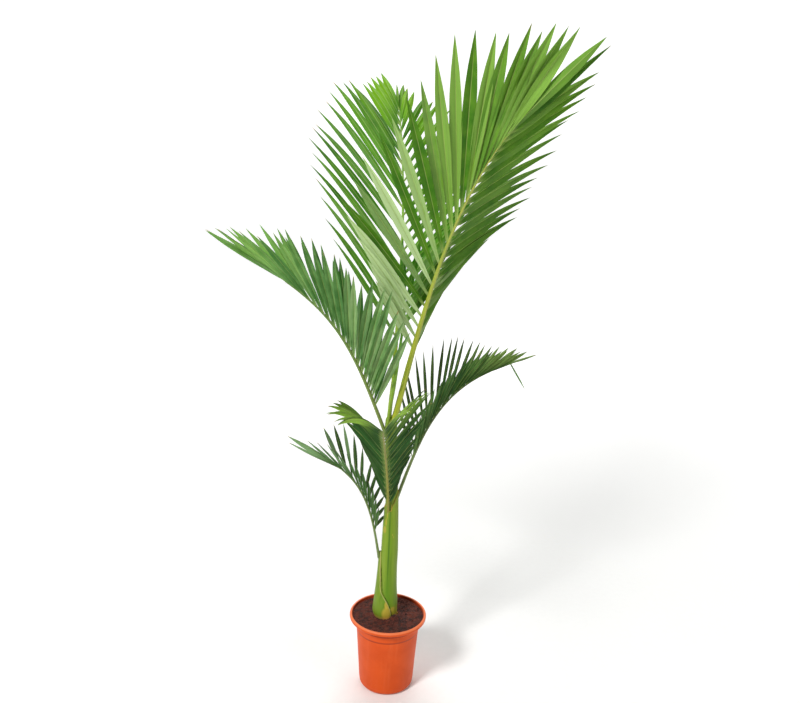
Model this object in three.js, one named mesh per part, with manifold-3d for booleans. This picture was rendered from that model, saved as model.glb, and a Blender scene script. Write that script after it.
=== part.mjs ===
// A young feather palm in a plain nursery pot. Millimetres, +Z up, +X to the right as seen from the front,
// +Y away from the front. The origin is on the floor, on the axis of the pot.
import * as THREE from "three";
import { mergeVertices } from "three/addons/utils/BufferGeometryUtils.js";
import Module from "manifold-3d";

const wasm = await Module();
wasm.setup();

// ---- Driving dimensions ----
const GAP = 0.35; // clearance between two pieces that touch

const POT_SIDES = 36;
const FLOOR_T = 3; // thickness of the pot's floor
const SOIL_Z = 193.5; // level of the soil, just under the rim
const SOIL_RELIEF = 1.6; // height of the crumbs on the soil
const DRAIN_HOLES = 8;
const DRAIN_R = 4.5;
const DRAIN_RING_R = 47;
// Outside of the pot from the flat base up to the rolled rim: radius, height.
const POT_OUTSIDE = [
  [60, 0], [66.5, 2.2], [70.2, 8], [71.6, 18], [74.6, 65], [77.9, 115], [81, 158], [82.6, 162.5],
  [84, 186], [92, 187.2], [98.6, 189.2], [100, 192.2], [100, 196.8], [98.4, 199.3], [96, 200],
];
// Inside of the pot from the rolled rim down to the floor.
const POT_INSIDE = [
  [93.6, 199], [93.2, 196.4], [92.6, 191.8], [90.4, 189.4], [82.4, 187.6], [81.4, 184], [80, 164], [78.6, 158],
  [75.5, 115], [72.2, 65], [69.2, 19], [67.2, 9], [62, FLOOR_T],
];

// Sheathed stem: height, radius, shift of its axis in x.
const STEM = [
  [152, 24, -1], [190, 27, -1], [235, 26, -1], [281, 24, -1.6], [327, 22.4, -1.4], [372, 21, -1],
  [417, 19.7, -1], [462, 18, -0.6], [506, 16.2, 0], [545, 15.4, -0.5], [600, 15, -3], [664, 14.8, -6],
  [722, 14.5, -8], [734, 12.5, -8], [740, 8, -8],
];
const STEM_SIDES = 18;
const ROOT_NUBS = 6;

// Outer leaf sheath of the lowest frond, wrapped round the left of the stem: height, thickness at its
// middle, and how many degrees it reaches to the front and to the back of the stem's left side.
const SHEATH = [
  [188, 7, 92, 78], [202, 10.5, 93, 80], [218, 12.5, 84, 78], [240, 11, 66, 70], [270, 8.6, 50, 60],
  [305, 7, 36, 46], [335, 6.2, 25, 32], [362, 6, 17, 20], [376, 5.6, 10, 12],
];
const SHEATH_COLUMNS = 10;
const SHEATH_EDGE_T = 1.2;
const SHEATH_CLEAR = 1; // room between the stem and the inner side of the sheath

const RIDGE = 2; // a blade is folded along its middle: how far the fold stands above its edges
const FUSE_TOLERANCE = 0.08; // slivers left where blades join that are smaller than this are removed
const REACH = 0.985; // share of the stalk where its last side blades stand
// Outline of a blade, narrow at its foot and widest past its middle: share of its length, share of its half width.
const LONG_BLADE = [[0, 0.22], [0.2, 0.6], [0.52, 1], [0.8, 0.68], [1, 0]];
const SHORT_BLADE = [[0, 0.24], [0.3, 0.78], [0.66, 0.92], [1, 0]];
const RACHIS_STEPS = 11;
const RACHIS_SIDES = 6;

// Fronds. rib: control points of the leaf stalk's curve. radii: half thickness of the stalk along it.
// from: share of the stalk where the blades begin. count: blades on each side. one (side 1) and other (side -1)
// give, in equal steps from the first blade to the last, the blades' length, their angle from the stalk, their lift
// out of the frond's plane, their droop as a share of their length and their width. tip: the two blades that end
// the frond, on side 1 and side -1. roll turns the frond about its stalk, and twist tilts each blade like a louvre.
// Angles are in degrees.
const FRONDS = {
  frond_upper_right: {
    rib: [[-4, -5, 722], [50, -22, 960], [98, -69, 1237], [213, -190, 1413]],
    radii: [8.2, 7.6, 6, 4.6, 3.4, 2.4, 1.6], from: 0.256, count: 21, roll: -17, twist: 18, outline: LONG_BLADE,
    one: {
      length: [209, 357, 377, 421, 346, 271], angle: [40, 50, 35, 24, 12, 4], lift: [13], droop: [0.05],
      width: [20, 21, 23, 25, 26],
    },
    other: {
      length: [222, 248, 265, 284, 265, 244], angle: [30, 39, 54, 59, 41, 13], lift: [24, 14, 18, 23, 19, -6],
      droop: [0.13], width: [20, 21, 22, 24, 25],
    },
    tip: { length: [271, 265], angle: [-6, 11], lift: [20, -8], droop: 0.05, width: 24 },
  },
  frond_upper_back: {
    rib: [[-14, 7, 728], [6, -54, 1030], [14, 163, 1268], [-17, 366, 1486]],
    radii: [5.6, 5.2, 4.4, 3.6, 2.8, 2.1, 1.5], from: 0.24, count: 20, roll: 0, twist: 18, outline: LONG_BLADE,
    one: {
      length: [201, 299, 332, 292, 193, 119], angle: [33, 38, 38, 36, 27, 8], lift: [15], droop: [0.05],
      width: [14, 15, 16, 18, 18],
    },
    other: {
      length: [307, 397, 404, 387, 236, 106], angle: [33, 38, 39, 30, 20, 14], lift: [16], droop: [0.05],
      width: [14, 15, 16, 18, 18],
    },
    tip: { length: [99, 97], angle: [4, 5], lift: [5, 5], droop: 0.05, width: 16 },
  },
  frond_left: {
    rib: [[-9, 0, 664], [-94, 7, 879], [-131, 9, 971], [-272, -15, 1070]],
    radii: [5.6, 5.3, 4.8, 4.2, 3.5, 2.9, 2.1], from: 0.222, count: 18, roll: -6, twist: 18, outline: LONG_BLADE,
    one: {
      length: [162, 186, 227, 228, 220, 207], angle: [45, 43, 31, 31, 25, 6], lift: [44], droop: [0.05],
      width: [18, 19, 18, 17, 16],
    },
    other: {
      length: [287, 313, 264, 247, 224, 222], angle: [51, 48, 39, 35, 23, 5], lift: [51, 52, 43, 45, 44, 39],
      droop: [0.05], width: [19, 19, 18, 17, 16],
    },
    tip: { length: [215, 216], angle: [0, 5], lift: [28, 20], droop: 0.05, width: 17 },
  },
  frond_right: {
    rib: [[6, 0, 503], [60, 11, 671], [98, 21, 794], [239, 41, 853]],
    radii: [5, 4.7, 4.1, 3.4, 2.7, 2, 1.4], from: 0.304, count: 18, roll: 0, twist: 20, outline: SHORT_BLADE,
    one: {
      length: [120, 150, 160, 150, 125, 105], angle: [22, 25, 26, 24, 20, 14], lift: [48], droop: [0.03],
      width: [11, 12, 12, 12, 12],
    },
    other: {
      length: [145, 205, 208, 164, 111, 98], angle: [41, 40, 31, 29, 26, 18], lift: [52], droop: [0.03],
      width: [8, 8, 8, 9, 10],
    },
    tip: { length: [116, 122], angle: [7, 2], lift: [36, 33], droop: 0.08, width: 12 },
  },
  frond_front: {
    rib: [[-8, -10, 476], [-10, -53, 618], [-23, -156, 726], [-22, -273, 790]],
    radii: [4.2, 4, 3.7, 3.3, 2.7, 2.1, 1.5], from: 0.115, count: 18, roll: 0, twist: -14, outline: SHORT_BLADE,
    one: {
      length: [107, 170, 189, 195, 191, 156], angle: [20, 24, 29, 39, 49, 41], lift: [22, 20, 22, 38, 30, 28],
      droop: [0.03, 0.05, 0.1, 0.2, 0.35], width: [15, 16, 15, 14, 12],
    },
    other: {
      length: [61, 136, 174, 201, 190, 119], angle: [21, 29, 34, 46, 47, 33], lift: [21, 21, 29, 42, 50, 44],
      droop: [0.03, 0.05, 0.08, 0.12, 0.15], width: [15, 16, 14, 10, 9],
    },
    tip: { length: [177, 152], angle: [31, 31], lift: [17, 45], droop: 0.2, width: 13 },
  },
  frond_low_left: {
    rib: [[-28, -3, 361], [-45, -13, 477], [-64, -11, 551], [-131, 16, 589]], sink: 4,
    radii: [4.2, 3.9, 3.6, 3.2, 2.8, 2.4, 2], from: 0.29, count: 11, roll: -8, twist: 18, outline: SHORT_BLADE,
    one: {
      length: [40, 58, 85, 111, 151, 127], angle: [60, 54, 42, 34, 34, 27], lift: [57, 55, 54, 54, 54, 45],
      droop: [0.03], width: [8, 9, 9, 11, 14],
    },
    other: {
      length: [80, 98, 115, 125, 125, 125], angle: [24, 25, 26, 24, 22, 12], lift: [50], droop: [0.03],
      width: [9, 10, 10, 11, 15],
    },
    tip: { length: [166, 150], angle: [-4, 12], lift: [37, -6], droop: 0.03, width: 19 },
  },
  spear_leaf: {
    rib: [[-17, -10, 722], [-10, -32, 800], [9, -44, 915], [17, -38, 1024]],
    radii: [3.4, 5, 6, 5, 3.8, 2.8, 2], from: 0.95, count: 1, roll: 55, twist: 12, outline: LONG_BLADE,
    one: { length: [174], angle: [6], lift: [5], droop: [0], width: [15] },
    other: { length: [168], angle: [8.5], lift: [5], droop: [0], width: [15] },
  },
};
const SINK = 16; // how far a leaf stalk reaches below the start of its curve, unless it has its own sink

// ---- Small helpers ----
const V = (x, y, z) => new THREE.Vector3(x, y, z);
const UP = V(0, 0, 1);
const rad = THREE.MathUtils.degToRad;

/** Value at share u of a list whose entries stand at equal steps. */
function along(list, u) {
  if (list.length === 1) return list[0];
  const x = Math.min(Math.max(u, 0), 1) * (list.length - 1);
  const i = Math.min(Math.floor(x), list.length - 2);
  return list[i] + (list[i + 1] - list[i]) * (x - i);
}

/** Values at height z of rows that start with a height, joined by straight lines. */
function atHeight(rows, z) {
  let i = 0;
  while (i < rows.length - 2 && rows[i + 1][0] < z) i += 1;
  const a = rows[i];
  const b = rows[i + 1];
  const s = Math.min(Math.max((z - a[0]) / (b[0] - a[0]), 0), 1);
  return a.slice(1).map((v, k) => v + (b[k + 1] - v) * s);
}

/** Repeatable draws from 0 to 1. */
function drawer(seed) {
  let s = seed;
  return () => {
    s = (s * 1664525 + 1013904223) % 4294967296;
    return s / 4294967296;
  };
}

/** A solid from points and triangles that face out. */
function solid(points, triangles) {
  return new wasm.Manifold(new wasm.Mesh({
    numProp: 3,
    vertProperties: new Float32Array(points.flatMap((p) => [p.x, p.y, p.z])),
    triVerts: new Uint32Array(triangles.flat()),
  }));
}

/** A tube through rings of equal size, turning right-handed about the way it runs, closed at both ends. */
function tube(rings) {
  const n = rings[0].length;
  const points = rings.flat();
  const triangles = [];
  for (let i = 0; i < rings.length - 1; i += 1) {
    for (let j = 0; j < n; j += 1) {
      const a = i * n + j;
      const b = i * n + ((j + 1) % n);
      triangles.push([a, b, b + n], [a, b + n, a + n]);
    }
  }
  const last = (rings.length - 1) * n;
  for (let j = 1; j < n - 1; j += 1) {
    triangles.push([0, j + 1, j], [last, last + j, last + j + 1]);
  }
  return solid(points, triangles);
}

/** The outer skin of a fused solid, with the tiny pockets closed in where blades meet filled. */
function outerSkin(made) {
  return made.decompose().reduce((best, body) => (body.volume() > best.volume() ? body : best));
}

/** A ring of n points round (x, y) at height z. */
function ring(x, y, z, radius, n) {
  return Array.from({ length: n }, (_, j) => {
    const a = (2 * Math.PI * j) / n;
    return V(x + radius * Math.cos(a), y + radius * Math.sin(a), z);
  });
}

// ---- Pot ----
function makePot() {
  const hull = tube(POT_OUTSIDE.map(([r, z]) => ring(0, 0, z, r, POT_SIDES)));
  const inside = [[POT_INSIDE[0][0] + 1.1, 200.4], ...POT_INSIDE];
  const hollow = tube(inside.reverse().map(([r, z]) => ring(0, 0, z, r, POT_SIDES)));
  let pot = hull.subtract(hollow);
  for (let i = 0; i < DRAIN_HOLES; i += 1) {
    const a = (2 * Math.PI * (i + 0.5)) / DRAIN_HOLES;
    const x = DRAIN_RING_R * Math.cos(a);
    const y = DRAIN_RING_R * Math.sin(a);
    pot = pot.subtract(tube([ring(x, y, -1, DRAIN_R, 12), ring(x, y, FLOOR_T + 1, DRAIN_R, 12)]));
  }
  return pot;
}

// ---- Stem and the outer sheath ----
/** Solid of the sheathed stem, grown outwards by the given distance. */
function stemSolid(grow) {
  return tube(STEM.map(([z, r, x], i) => {
    const end = i === 0 ? -grow : i === STEM.length - 1 ? grow : 0;
    return ring(x, 0, z + end, r + grow, STEM_SIDES);
  }));
}

/** Solid of the outer sheath on the stem's left, grown outwards by the given distance. */
function sheathSolid(grow) {
  const rings = SHEATH.map(([z, thick, front, back], row) => {
    const [r, x] = atHeight(STEM, z);
    const outer = [];
    const inner = [];
    const spread = (grow / r) * (180 / Math.PI);
    for (let k = 0; k <= SHEATH_COLUMNS; k += 1) {
      const s = k / SHEATH_COLUMNS;
      const phi = -(back + spread) + s * (front + back + 2 * spread);
      const bulge = Math.cos((s - 0.5) * Math.PI) ** 0.7;
      const t = SHEATH_EDGE_T + (thick - SHEATH_EDGE_T) * bulge;
      const a = Math.PI + rad(phi);
      const base = r + SHEATH_CLEAR;
      const zz = z + (row === 0 ? -grow : row === SHEATH.length - 1 ? grow : 0);
      outer.push(V(x + (base + t + grow) * Math.cos(a), (base + t + grow) * Math.sin(a), zz));
      inner.push(V(x + (base - grow) * Math.cos(a), (base - grow) * Math.sin(a), zz));
    }
    return [...outer, ...inner.reverse()];
  });
  return bridge(rings);
}

/** Joins rings of a thin, curved section, with caps that are strips from its outer to its inner side. */
function bridge(rings) {
  const n = rings[0].length;
  const half = n / 2;
  const points = rings.flat();
  const triangles = [];
  for (let i = 0; i < rings.length - 1; i += 1) {
    for (let j = 0; j < n; j += 1) {
      const a = i * n + j;
      const b = i * n + ((j + 1) % n);
      triangles.push([a, b, b + n], [a, b + n, a + n]);
    }
  }
  const last = (rings.length - 1) * n;
  for (let j = 0; j < half - 1; j += 1) {
    const k = n - 1 - j;
    triangles.push([j, k, j + 1], [j + 1, k, k - 1]);
    triangles.push([last + j, last + j + 1, last + k], [last + j + 1, last + k - 1, last + k]);
  }
  return solid(points, triangles);
}

// ---- Fronds ----
/** Point on the stalk's curve at parameter t. */
function ribPoint(rib, t) {
  const s = 1 - t;
  const w = [s * s * s, 3 * s * s * t, 3 * s * t * t, t * t * t];
  return rib.reduce((p, q, i) => p.addScaledVector(V(...q), w[i]), V(0, 0, 0));
}

/** Direction along, across and out of the frond at parameter t. */
function ribFrame(rib, t, roll) {
  const s = 1 - t;
  const w = [s * s, 2 * s * t, t * t];
  const tangent = V(0, 0, 0);
  for (let i = 0; i < 3; i += 1) {
    tangent.addScaledVector(V(...rib[i + 1]).sub(V(...rib[i])), w[i]);
  }
  tangent.normalize();
  const normal = UP.clone().addScaledVector(tangent, -UP.dot(tangent)).normalize();
  normal.applyAxisAngle(tangent, rad(roll));
  return { tangent, normal, across: tangent.clone().cross(normal) };
}

/** Curve parameters at equal steps of the stalk's length. */
function lengthTable(rib) {
  const steps = 400;
  const table = [0];
  let last = ribPoint(rib, 0);
  for (let i = 1; i <= steps; i += 1) {
    const p = ribPoint(rib, i / steps);
    table.push(table[i - 1] + p.distanceTo(last));
    last = p;
  }
  return (share) => {
    const want = share * table[steps];
    let i = 1;
    while (i < steps && table[i] < want) i += 1;
    return (i - 1 + (want - table[i - 1]) / (table[i] - table[i - 1])) / steps;
  };
}

/** Solid of the bare leaf stalk with its foot, grown outwards by the given distance. */
function stalkSolid(spec, grow) {
  const at = lengthTable(spec.rib);
  const rings = [];
  for (let i = -1; i <= RACHIS_STEPS; i += 1) {
    const share = Math.max(i, 0) / RACHIS_STEPS;
    const t = at(share);
    const { tangent, normal, across } = ribFrame(spec.rib, t, spec.roll);
    const centre = ribPoint(spec.rib, t);
    if (i < 0) centre.addScaledVector(tangent, -(spec.sink ?? SINK) - grow);
    const r = along(spec.radii, share) + grow;
    rings.push(Array.from({ length: RACHIS_SIDES }, (_, j) => {
      const a = (2 * Math.PI * (j + 0.5)) / RACHIS_SIDES;
      // The upper side of a leaf stalk is flatter than its back.
      const up = Math.sin(a) > 0 ? 0.7 : 1;
      return centre.clone().addScaledVector(across, -r * Math.cos(a))
        .addScaledVector(normal, up * r * Math.sin(a));
    }));
  }
  return tube(rings);
}

/** One blade of a frond, whose foot stands on the given side of the stalk at a share of its length. */
function bladeSolid(spec, at, side, share, blade) {
  const t = at(share);
  const { tangent, normal, across } = ribFrame(spec.rib, t, spec.roll);
  const { length, droop } = blade;
  const angle = rad(blade.angle);
  const lift = rad(blade.lift);
  const out = across.clone().multiplyScalar(side * Math.cos(lift)).addScaledVector(normal, Math.sin(lift));
  const way = tangent.clone().multiplyScalar(Math.cos(angle)).addScaledVector(out, Math.sin(angle));
  const start = ribPoint(spec.rib, t).addScaledVector(out, 0.3 * along(spec.radii, share));
  const half = blade.width / 2;
  const twist = rad(spec.twist);
  const points = [];
  spec.outline.forEach(([x, w]) => {
    const c = start.clone().addScaledVector(way, length * x).addScaledVector(UP, -length * droop * x * x);
    if (w === 0) {
      points.push(c);
      return;
    }
    const run = way.clone().addScaledVector(UP, -2 * droop * x).normalize();
    const flat = tangent.clone().addScaledVector(run, -run.dot(tangent)).normalize();
    const face = run.clone().cross(flat).multiplyScalar(side);
    const wide = flat.clone().multiplyScalar(Math.cos(twist)).addScaledVector(face, -Math.sin(twist));
    const top = run.clone().cross(wide).multiplyScalar(side).normalize();
    points.push(
      c.clone().addScaledVector(wide, half * w), c.clone().addScaledVector(top, RIDGE),
      c.clone().addScaledVector(wide, -half * w),
    );
  });
  // Three points a row: front edge, fold, back edge.
  const triangles = [[0, 2, 1]];
  const last = 3 * (spec.outline.length - 2);
  for (let i = 0; i < last; i += 3) {
    const [a, b, c, d, e, f] = [0, 1, 2, 3, 4, 5].map((k) => i + k);
    triangles.push([a, b, e], [a, e, d], [b, c, e], [c, f, e], [c, a, d], [c, d, f]);
  }
  for (let k = 0; k < 3; k += 1) triangles.push([last + k, last + ((k + 1) % 3), last + 3]);
  if (side < 0) triangles.forEach((tri) => tri.reverse());
  return solid(points, triangles);
}

/** The blades of one side of a frond, and the side's blade of the pair that ends it. */
function bladeRow(spec, at, side, rows, place) {
  const blades = [];
  for (let i = 0; i < spec.count; i += 1) {
    const u = (i + place) / (spec.count - 0.65);
    const blade = Object.fromEntries(Object.entries(rows).map(([key, list]) => [key, along(list, u)]));
    blades.push(bladeSolid(spec, at, side, spec.from + (REACH - spec.from) * u, blade));
  }
  if (spec.tip) {
    const { length, angle, lift, droop, width } = spec.tip;
    const k = side > 0 ? 0 : 1;
    blades.push(bladeSolid(spec, at, side, 1, { length: length[k], angle: angle[k], lift: lift[k], droop, width }));
  }
  return blades;
}

/** A whole frond: stalk and blades fused. */
function frondSolid(spec) {
  const at = lengthTable(spec.rib);
  const pieces = [
    stalkSolid(spec, 0), ...bladeRow(spec, at, -1, spec.other, 0), ...bladeRow(spec, at, 1, spec.one, 0.35),
  ];
  return outerSkin(wasm.Manifold.union(pieces).simplify(FUSE_TOLERANCE));
}

// ---- Soil ----
function makeSoil(cutters) {
  const draw = drawer(7);
  const shares = [0.2, 0.42, 0.6, 0.76, 0.9, 1];
  const side = [[62, FLOOR_T + GAP], ...POT_INSIDE.slice().reverse().filter(([, z]) => z > 8 && z < SOIL_Z)];
  const rings = side.map(([r, z]) => ring(0, 0, z, r - GAP - 0.35, POT_SIDES));
  const rim = atHeight(POT_INSIDE.slice().reverse().map(([r, z]) => [z, r]), SOIL_Z)[0] - 2 * GAP;
  shares.slice().reverse().forEach((s) => {
    const row = ring(0, 0, SOIL_Z, rim * s, POT_SIDES);
    row.forEach((p) => {
      if (s < 1) p.z += (draw() - 0.5) * SOIL_RELIEF;
      else p.z -= 0.6;
    });
    rings.push(row);
  });
  return cutters.reduce((soil, cutter) => soil.subtract(cutter), tube(rings));
}

// ---- Assembly ----
function makeStem() {
  const draw = drawer(3);
  let stem = stemSolid(0);
  for (let i = 0; i < ROOT_NUBS; i += 1) {
    const a = rad(-72 + (55 * i) / (ROOT_NUBS - 1));
    const z = 198 + 8 * draw();
    const [r, x] = atHeight(STEM, z);
    const way = V(Math.cos(a), Math.sin(a), -0.1);
    const foot = V(x, 0, z).addScaledVector(way, r - 3);
    const size = 1.6 + 0.6 * draw();
    const across = way.clone().cross(UP).normalize();
    const rings = [[0, size], [5.5, size * 0.9], [7 + 2 * draw(), size * 0.4]].map(([d, s]) =>
      Array.from({ length: 6 }, (_, j) => {
        const b = (2 * Math.PI * j) / 6;
        return foot.clone().addScaledVector(way, d).addScaledVector(across, -s * Math.cos(b))
          .addScaledVector(UP, s * Math.sin(b));
      }));
    stem = stem.add(tube(rings));
  }
  for (const [name, spec] of Object.entries(FRONDS)) {
    if (name !== "frond_low_left") stem = stem.subtract(stalkSolid(spec, GAP));
  }
  return stem.simplify(FUSE_TOLERANCE);
}

const FINISH = {
  terracotta: { color: 0xd85f33, roughness: 0.5 },
  earth: { color: 0x52351f, roughness: 1 },
  sheath: { color: 0x7d9c3a, roughness: 0.45 },
  leaf: { color: 0x4f8a3a, roughness: 0.5 },
  youngLeaf: { color: 0x6cab35, roughness: 0.45 },
};

/** A named mesh of a solid. */
function meshOf(name, made, finish) {
  const m = made.getMesh();
  const geometry = new THREE.BufferGeometry();
  const position = new Float32Array(m.numVert * 3);
  for (let i = 0; i < m.numVert; i += 1) {
    position.set(m.vertProperties.subarray(i * m.numProp, i * m.numProp + 3), i * 3);
  }
  geometry.setAttribute("position", new THREE.BufferAttribute(position, 3));
  geometry.setIndex(new THREE.BufferAttribute(m.triVerts, 1));
  const mesh = new THREE.Mesh(mergeVertices(geometry, 1e-4), new THREE.MeshStandardMaterial(FINISH[finish]));
  mesh.name = name;
  return mesh;
}

const palm = new THREE.Group();
palm.name = "potted_palm";
palm.add(meshOf("pot", makePot(), "terracotta"));
palm.add(meshOf("soil", makeSoil([stemSolid(GAP), sheathSolid(GAP)]), "earth"));
palm.add(meshOf("stem", makeStem(), "sheath"));
for (const [name, spec] of Object.entries(FRONDS)) {
  const frond = frondSolid(spec);
  const whole = name === "frond_low_left" ? outerSkin(frond.add(sheathSolid(0))) : frond;
  palm.add(meshOf(name, whole, name === "frond_upper_right" || name === "spear_leaf" ? "youngLeaf" : "leaf"));
}

export default palm;
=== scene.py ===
"""A young feather palm in a plain nursery pot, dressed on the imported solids.

The tables are in millimetres and become metres in the meshes. +Z is up, +X is to the right as seen from the
front, +Y is away from the front, and the origin is on the floor, on the axis of the pot.
"""
import logging
import math
from dataclasses import dataclass, field
from enum import Enum

import bpy
import numpy as np
from mathutils import Matrix, Vector, noise


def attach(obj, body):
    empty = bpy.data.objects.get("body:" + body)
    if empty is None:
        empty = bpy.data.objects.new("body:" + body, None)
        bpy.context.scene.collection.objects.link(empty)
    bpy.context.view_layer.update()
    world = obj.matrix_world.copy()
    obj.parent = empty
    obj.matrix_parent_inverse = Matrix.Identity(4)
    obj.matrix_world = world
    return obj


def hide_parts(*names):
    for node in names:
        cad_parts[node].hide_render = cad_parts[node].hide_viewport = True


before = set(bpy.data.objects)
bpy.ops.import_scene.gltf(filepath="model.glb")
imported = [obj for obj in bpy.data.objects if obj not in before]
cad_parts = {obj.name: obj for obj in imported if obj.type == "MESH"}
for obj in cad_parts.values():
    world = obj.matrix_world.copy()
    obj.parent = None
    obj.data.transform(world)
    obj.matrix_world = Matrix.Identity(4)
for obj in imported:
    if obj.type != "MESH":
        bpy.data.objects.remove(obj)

log = logging.getLogger("potted_palm")
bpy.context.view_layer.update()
BODY = "root"
MM = 0.001
UP = np.array([0.0, 0.0, 1.0])
Face = tuple[int, ...]


class Side(Enum):
    """Which edge of a leaf stalk a blade stands on, seen from its foot with the upper face up."""

    ONE = 1
    OTHER = -1


class Slot(Enum):
    """Material slots of the record."""

    PLASTIC = "pot_plastic"
    SOIL = "potting_soil"
    SHEATH = "leaf_sheath"
    LEAF = "palm_leaf"
    YOUNG = "young_leaf"


# ---------------------------------------------------------------- small sums
def unit(v: np.ndarray) -> np.ndarray:
    """The vectors of an array scaled to length one."""
    return v / np.linalg.norm(v, axis=-1, keepdims=True)


def at_share(values: tuple[float, ...], share: float | np.ndarray) -> np.ndarray:
    """Reads a list whose entries stand at equal steps.

    Args:
        values: The entries.
        share: Where to read, from 0 at the first entry to 1 at the last.

    Returns:
        The value or values there.
    """
    return np.interp(share, np.linspace(0, 1, len(values)), values) if len(values) > 1 else values[0] + 0 * share


def eased(rows: tuple[tuple[float, ...], ...], at: np.ndarray) -> np.ndarray:
    """Reads a table through a smooth curve that doesn't overshoot.

    Args:
        rows: Rows that start with a place, followed by their values.
        at: The places to read.

    Returns:
        One row of values for each place.
    """
    table = np.array(rows, float)
    x, y = table[:, 0], table[:, 1:]
    step = np.diff(y, axis=0) / np.diff(x)[:, None]
    slope = np.vstack([step[:1], np.where(step[1:] * step[:-1] > 0, (step[1:] + step[:-1]) / 2, 0), step[-1:]])
    i = np.clip(np.searchsorted(x, at) - 1, 0, len(x) - 2)
    h = (x[i + 1] - x[i])[:, None]
    s = ((np.clip(at, x[0], x[-1]) - x[i]) / h[:, 0])[:, None]
    return (
        (1 + 2 * s) * (1 - s) ** 2 * y[i]
        + s * (1 - s) ** 2 * h * slope[i]
        + s * s * (3 - 2 * s) * y[i + 1]
        + s * s * (s - 1) * h * slope[i + 1]
    )


def rounded(profile: tuple[tuple[float, float], ...], cut: float, steps: int = 4) -> list[tuple[float, float]]:
    """Rounds the corners of an open profile.

    Args:
        profile: Its corners.
        cut: How far from a corner its rounding starts, where the sides are long enough.
        steps: Points on each rounding.

    Returns:
        The points of the rounded profile.
    """
    p = np.array(profile, float)
    out = [tuple(p[0])]
    for a, b, c in zip(p[:-2], p[1:-1], p[2:]):
        first = b + (a - b) * min(0.5, cut / np.linalg.norm(a - b))
        last = b + (c - b) * min(0.5, cut / np.linalg.norm(c - b))
        for t in np.linspace(0, 1, steps + 1):
            out.append(tuple((1 - t) ** 2 * first + 2 * t * (1 - t) * b + t * t * last))
    out.append(tuple(p[-1]))
    return out


def hills(point: np.ndarray, size: float, detail: int = 3) -> float:
    """Smooth random height, about -1 to 1, at a point.

    Args:
        point: The point, in millimetres.
        size: Distance over which the height changes, in millimetres.
        detail: How many finer layers it holds.

    Returns:
        The height there.
    """
    return noise.fractal(Vector(point / size), 1.0, 2.0, detail)


def loop_faces(rings: int, around: int, first: int = 0, caps: bool = True) -> list[Face]:
    """Faces of a tube through rings of points.

    Args:
        rings: How many rings.
        around: Points in each ring.
        first: Index of the tube's first point.
        caps: Whether its two ends are closed.

    Returns:
        The faces.
    """
    faces = [
        (first + i * around + j, first + i * around + (j + 1) % around,
         first + (i + 1) * around + (j + 1) % around, first + (i + 1) * around + j)
        for i in range(rings - 1) for j in range(around)
    ]
    if caps:
        last = first + (rings - 1) * around
        faces += [tuple(range(first + around - 1, first - 1, -1)), tuple(range(last, last + around))]
    return faces


def turned_out(points: np.ndarray, faces: list[Face]) -> list[Face]:
    """Reverses the faces of a closed skin whose faces point inwards."""
    volume = 0.0
    for face in faces:
        a, rest = points[face[0]], points[list(face[1:])]
        volume += float(np.einsum("i,ji->", a, np.cross(rest[:-1], rest[1:])))
    return [face[::-1] for face in faces] if volume < 0 else faces


class Skin:
    """Points and faces of one piece, gathered before they become a mesh.

    Each point carries a place and each face a state, three numbers that its finish reads.
    """

    def __init__(self) -> None:
        """Starts with nothing."""
        self.points: list[np.ndarray] = []
        self.faces: list[Face] = []
        self.place: list[np.ndarray] = []
        self.state: list[tuple[float, float, float]] = []
        self.count = 0

    def add(self, points: np.ndarray, faces: list[Face], place: np.ndarray | None = None,
            states: list[tuple[float, float, float]] | None = None) -> None:
        """Adds one closed form.

        Args:
            points: Its points, in millimetres.
            faces: Its faces, by index into those points.
            place: Three numbers for each point.
            states: Three numbers for each face.
        """
        faces = turned_out(points, faces)
        self.points.append(points)
        self.faces += [tuple(self.count + k for k in face) for face in faces]
        self.place.append(place if place is not None else np.zeros((len(points), 3)))
        self.state += states if states is not None else [(0.0, 0.0, 0.0)] * len(faces)
        self.count += len(points)

    def become(self, name: str, material: bpy.types.Material, slot: Slot, node: str,
               crease: float = 50) -> bpy.types.Object:
        """Makes the piece.

        Args:
            name: Name of the piece.
            material: Its finish.
            slot: Slot of the record that the finish belongs to; not used.
            node: The solid that the piece stands for.
            crease: Edges bent by more than this, in degrees, stay sharp.

        Returns:
            The piece, riding on the part's one body.
        """
        mesh = bpy.data.meshes.new(name)
        mesh.from_pydata((np.vstack(self.points) * MM).tolist(), [], self.faces)
        mesh.attributes.new("place", "FLOAT_VECTOR", "POINT").data.foreach_set("vector", np.vstack(self.place).ravel())
        mesh.attributes.new("state", "FLOAT_VECTOR", "FACE").data.foreach_set("vector", np.array(self.state).ravel())
        mesh.materials.append(material)
        mesh.shade_smooth()
        mesh.set_sharp_from_angle(angle=math.radians(crease))
        piece = bpy.data.objects.new(name, mesh)
        bpy.context.scene.collection.objects.link(piece)
        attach(piece, BODY)
        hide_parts(node)
        log.info("%s: %d faces", name, len(self.faces))
        return piece


# ---------------------------------------------------------------- finishes
def linear(colour: str, alpha: float = 1.0) -> tuple[float, float, float, float]:
    """A colour written as six hex digits, in linear light."""
    parts = [int(colour[i:i + 2], 16) / 255 for i in (0, 2, 4)]
    return (*[p / 12.92 if p <= 0.04045 else ((p + 0.055) / 1.055) ** 2.4 for p in parts], alpha)


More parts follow.
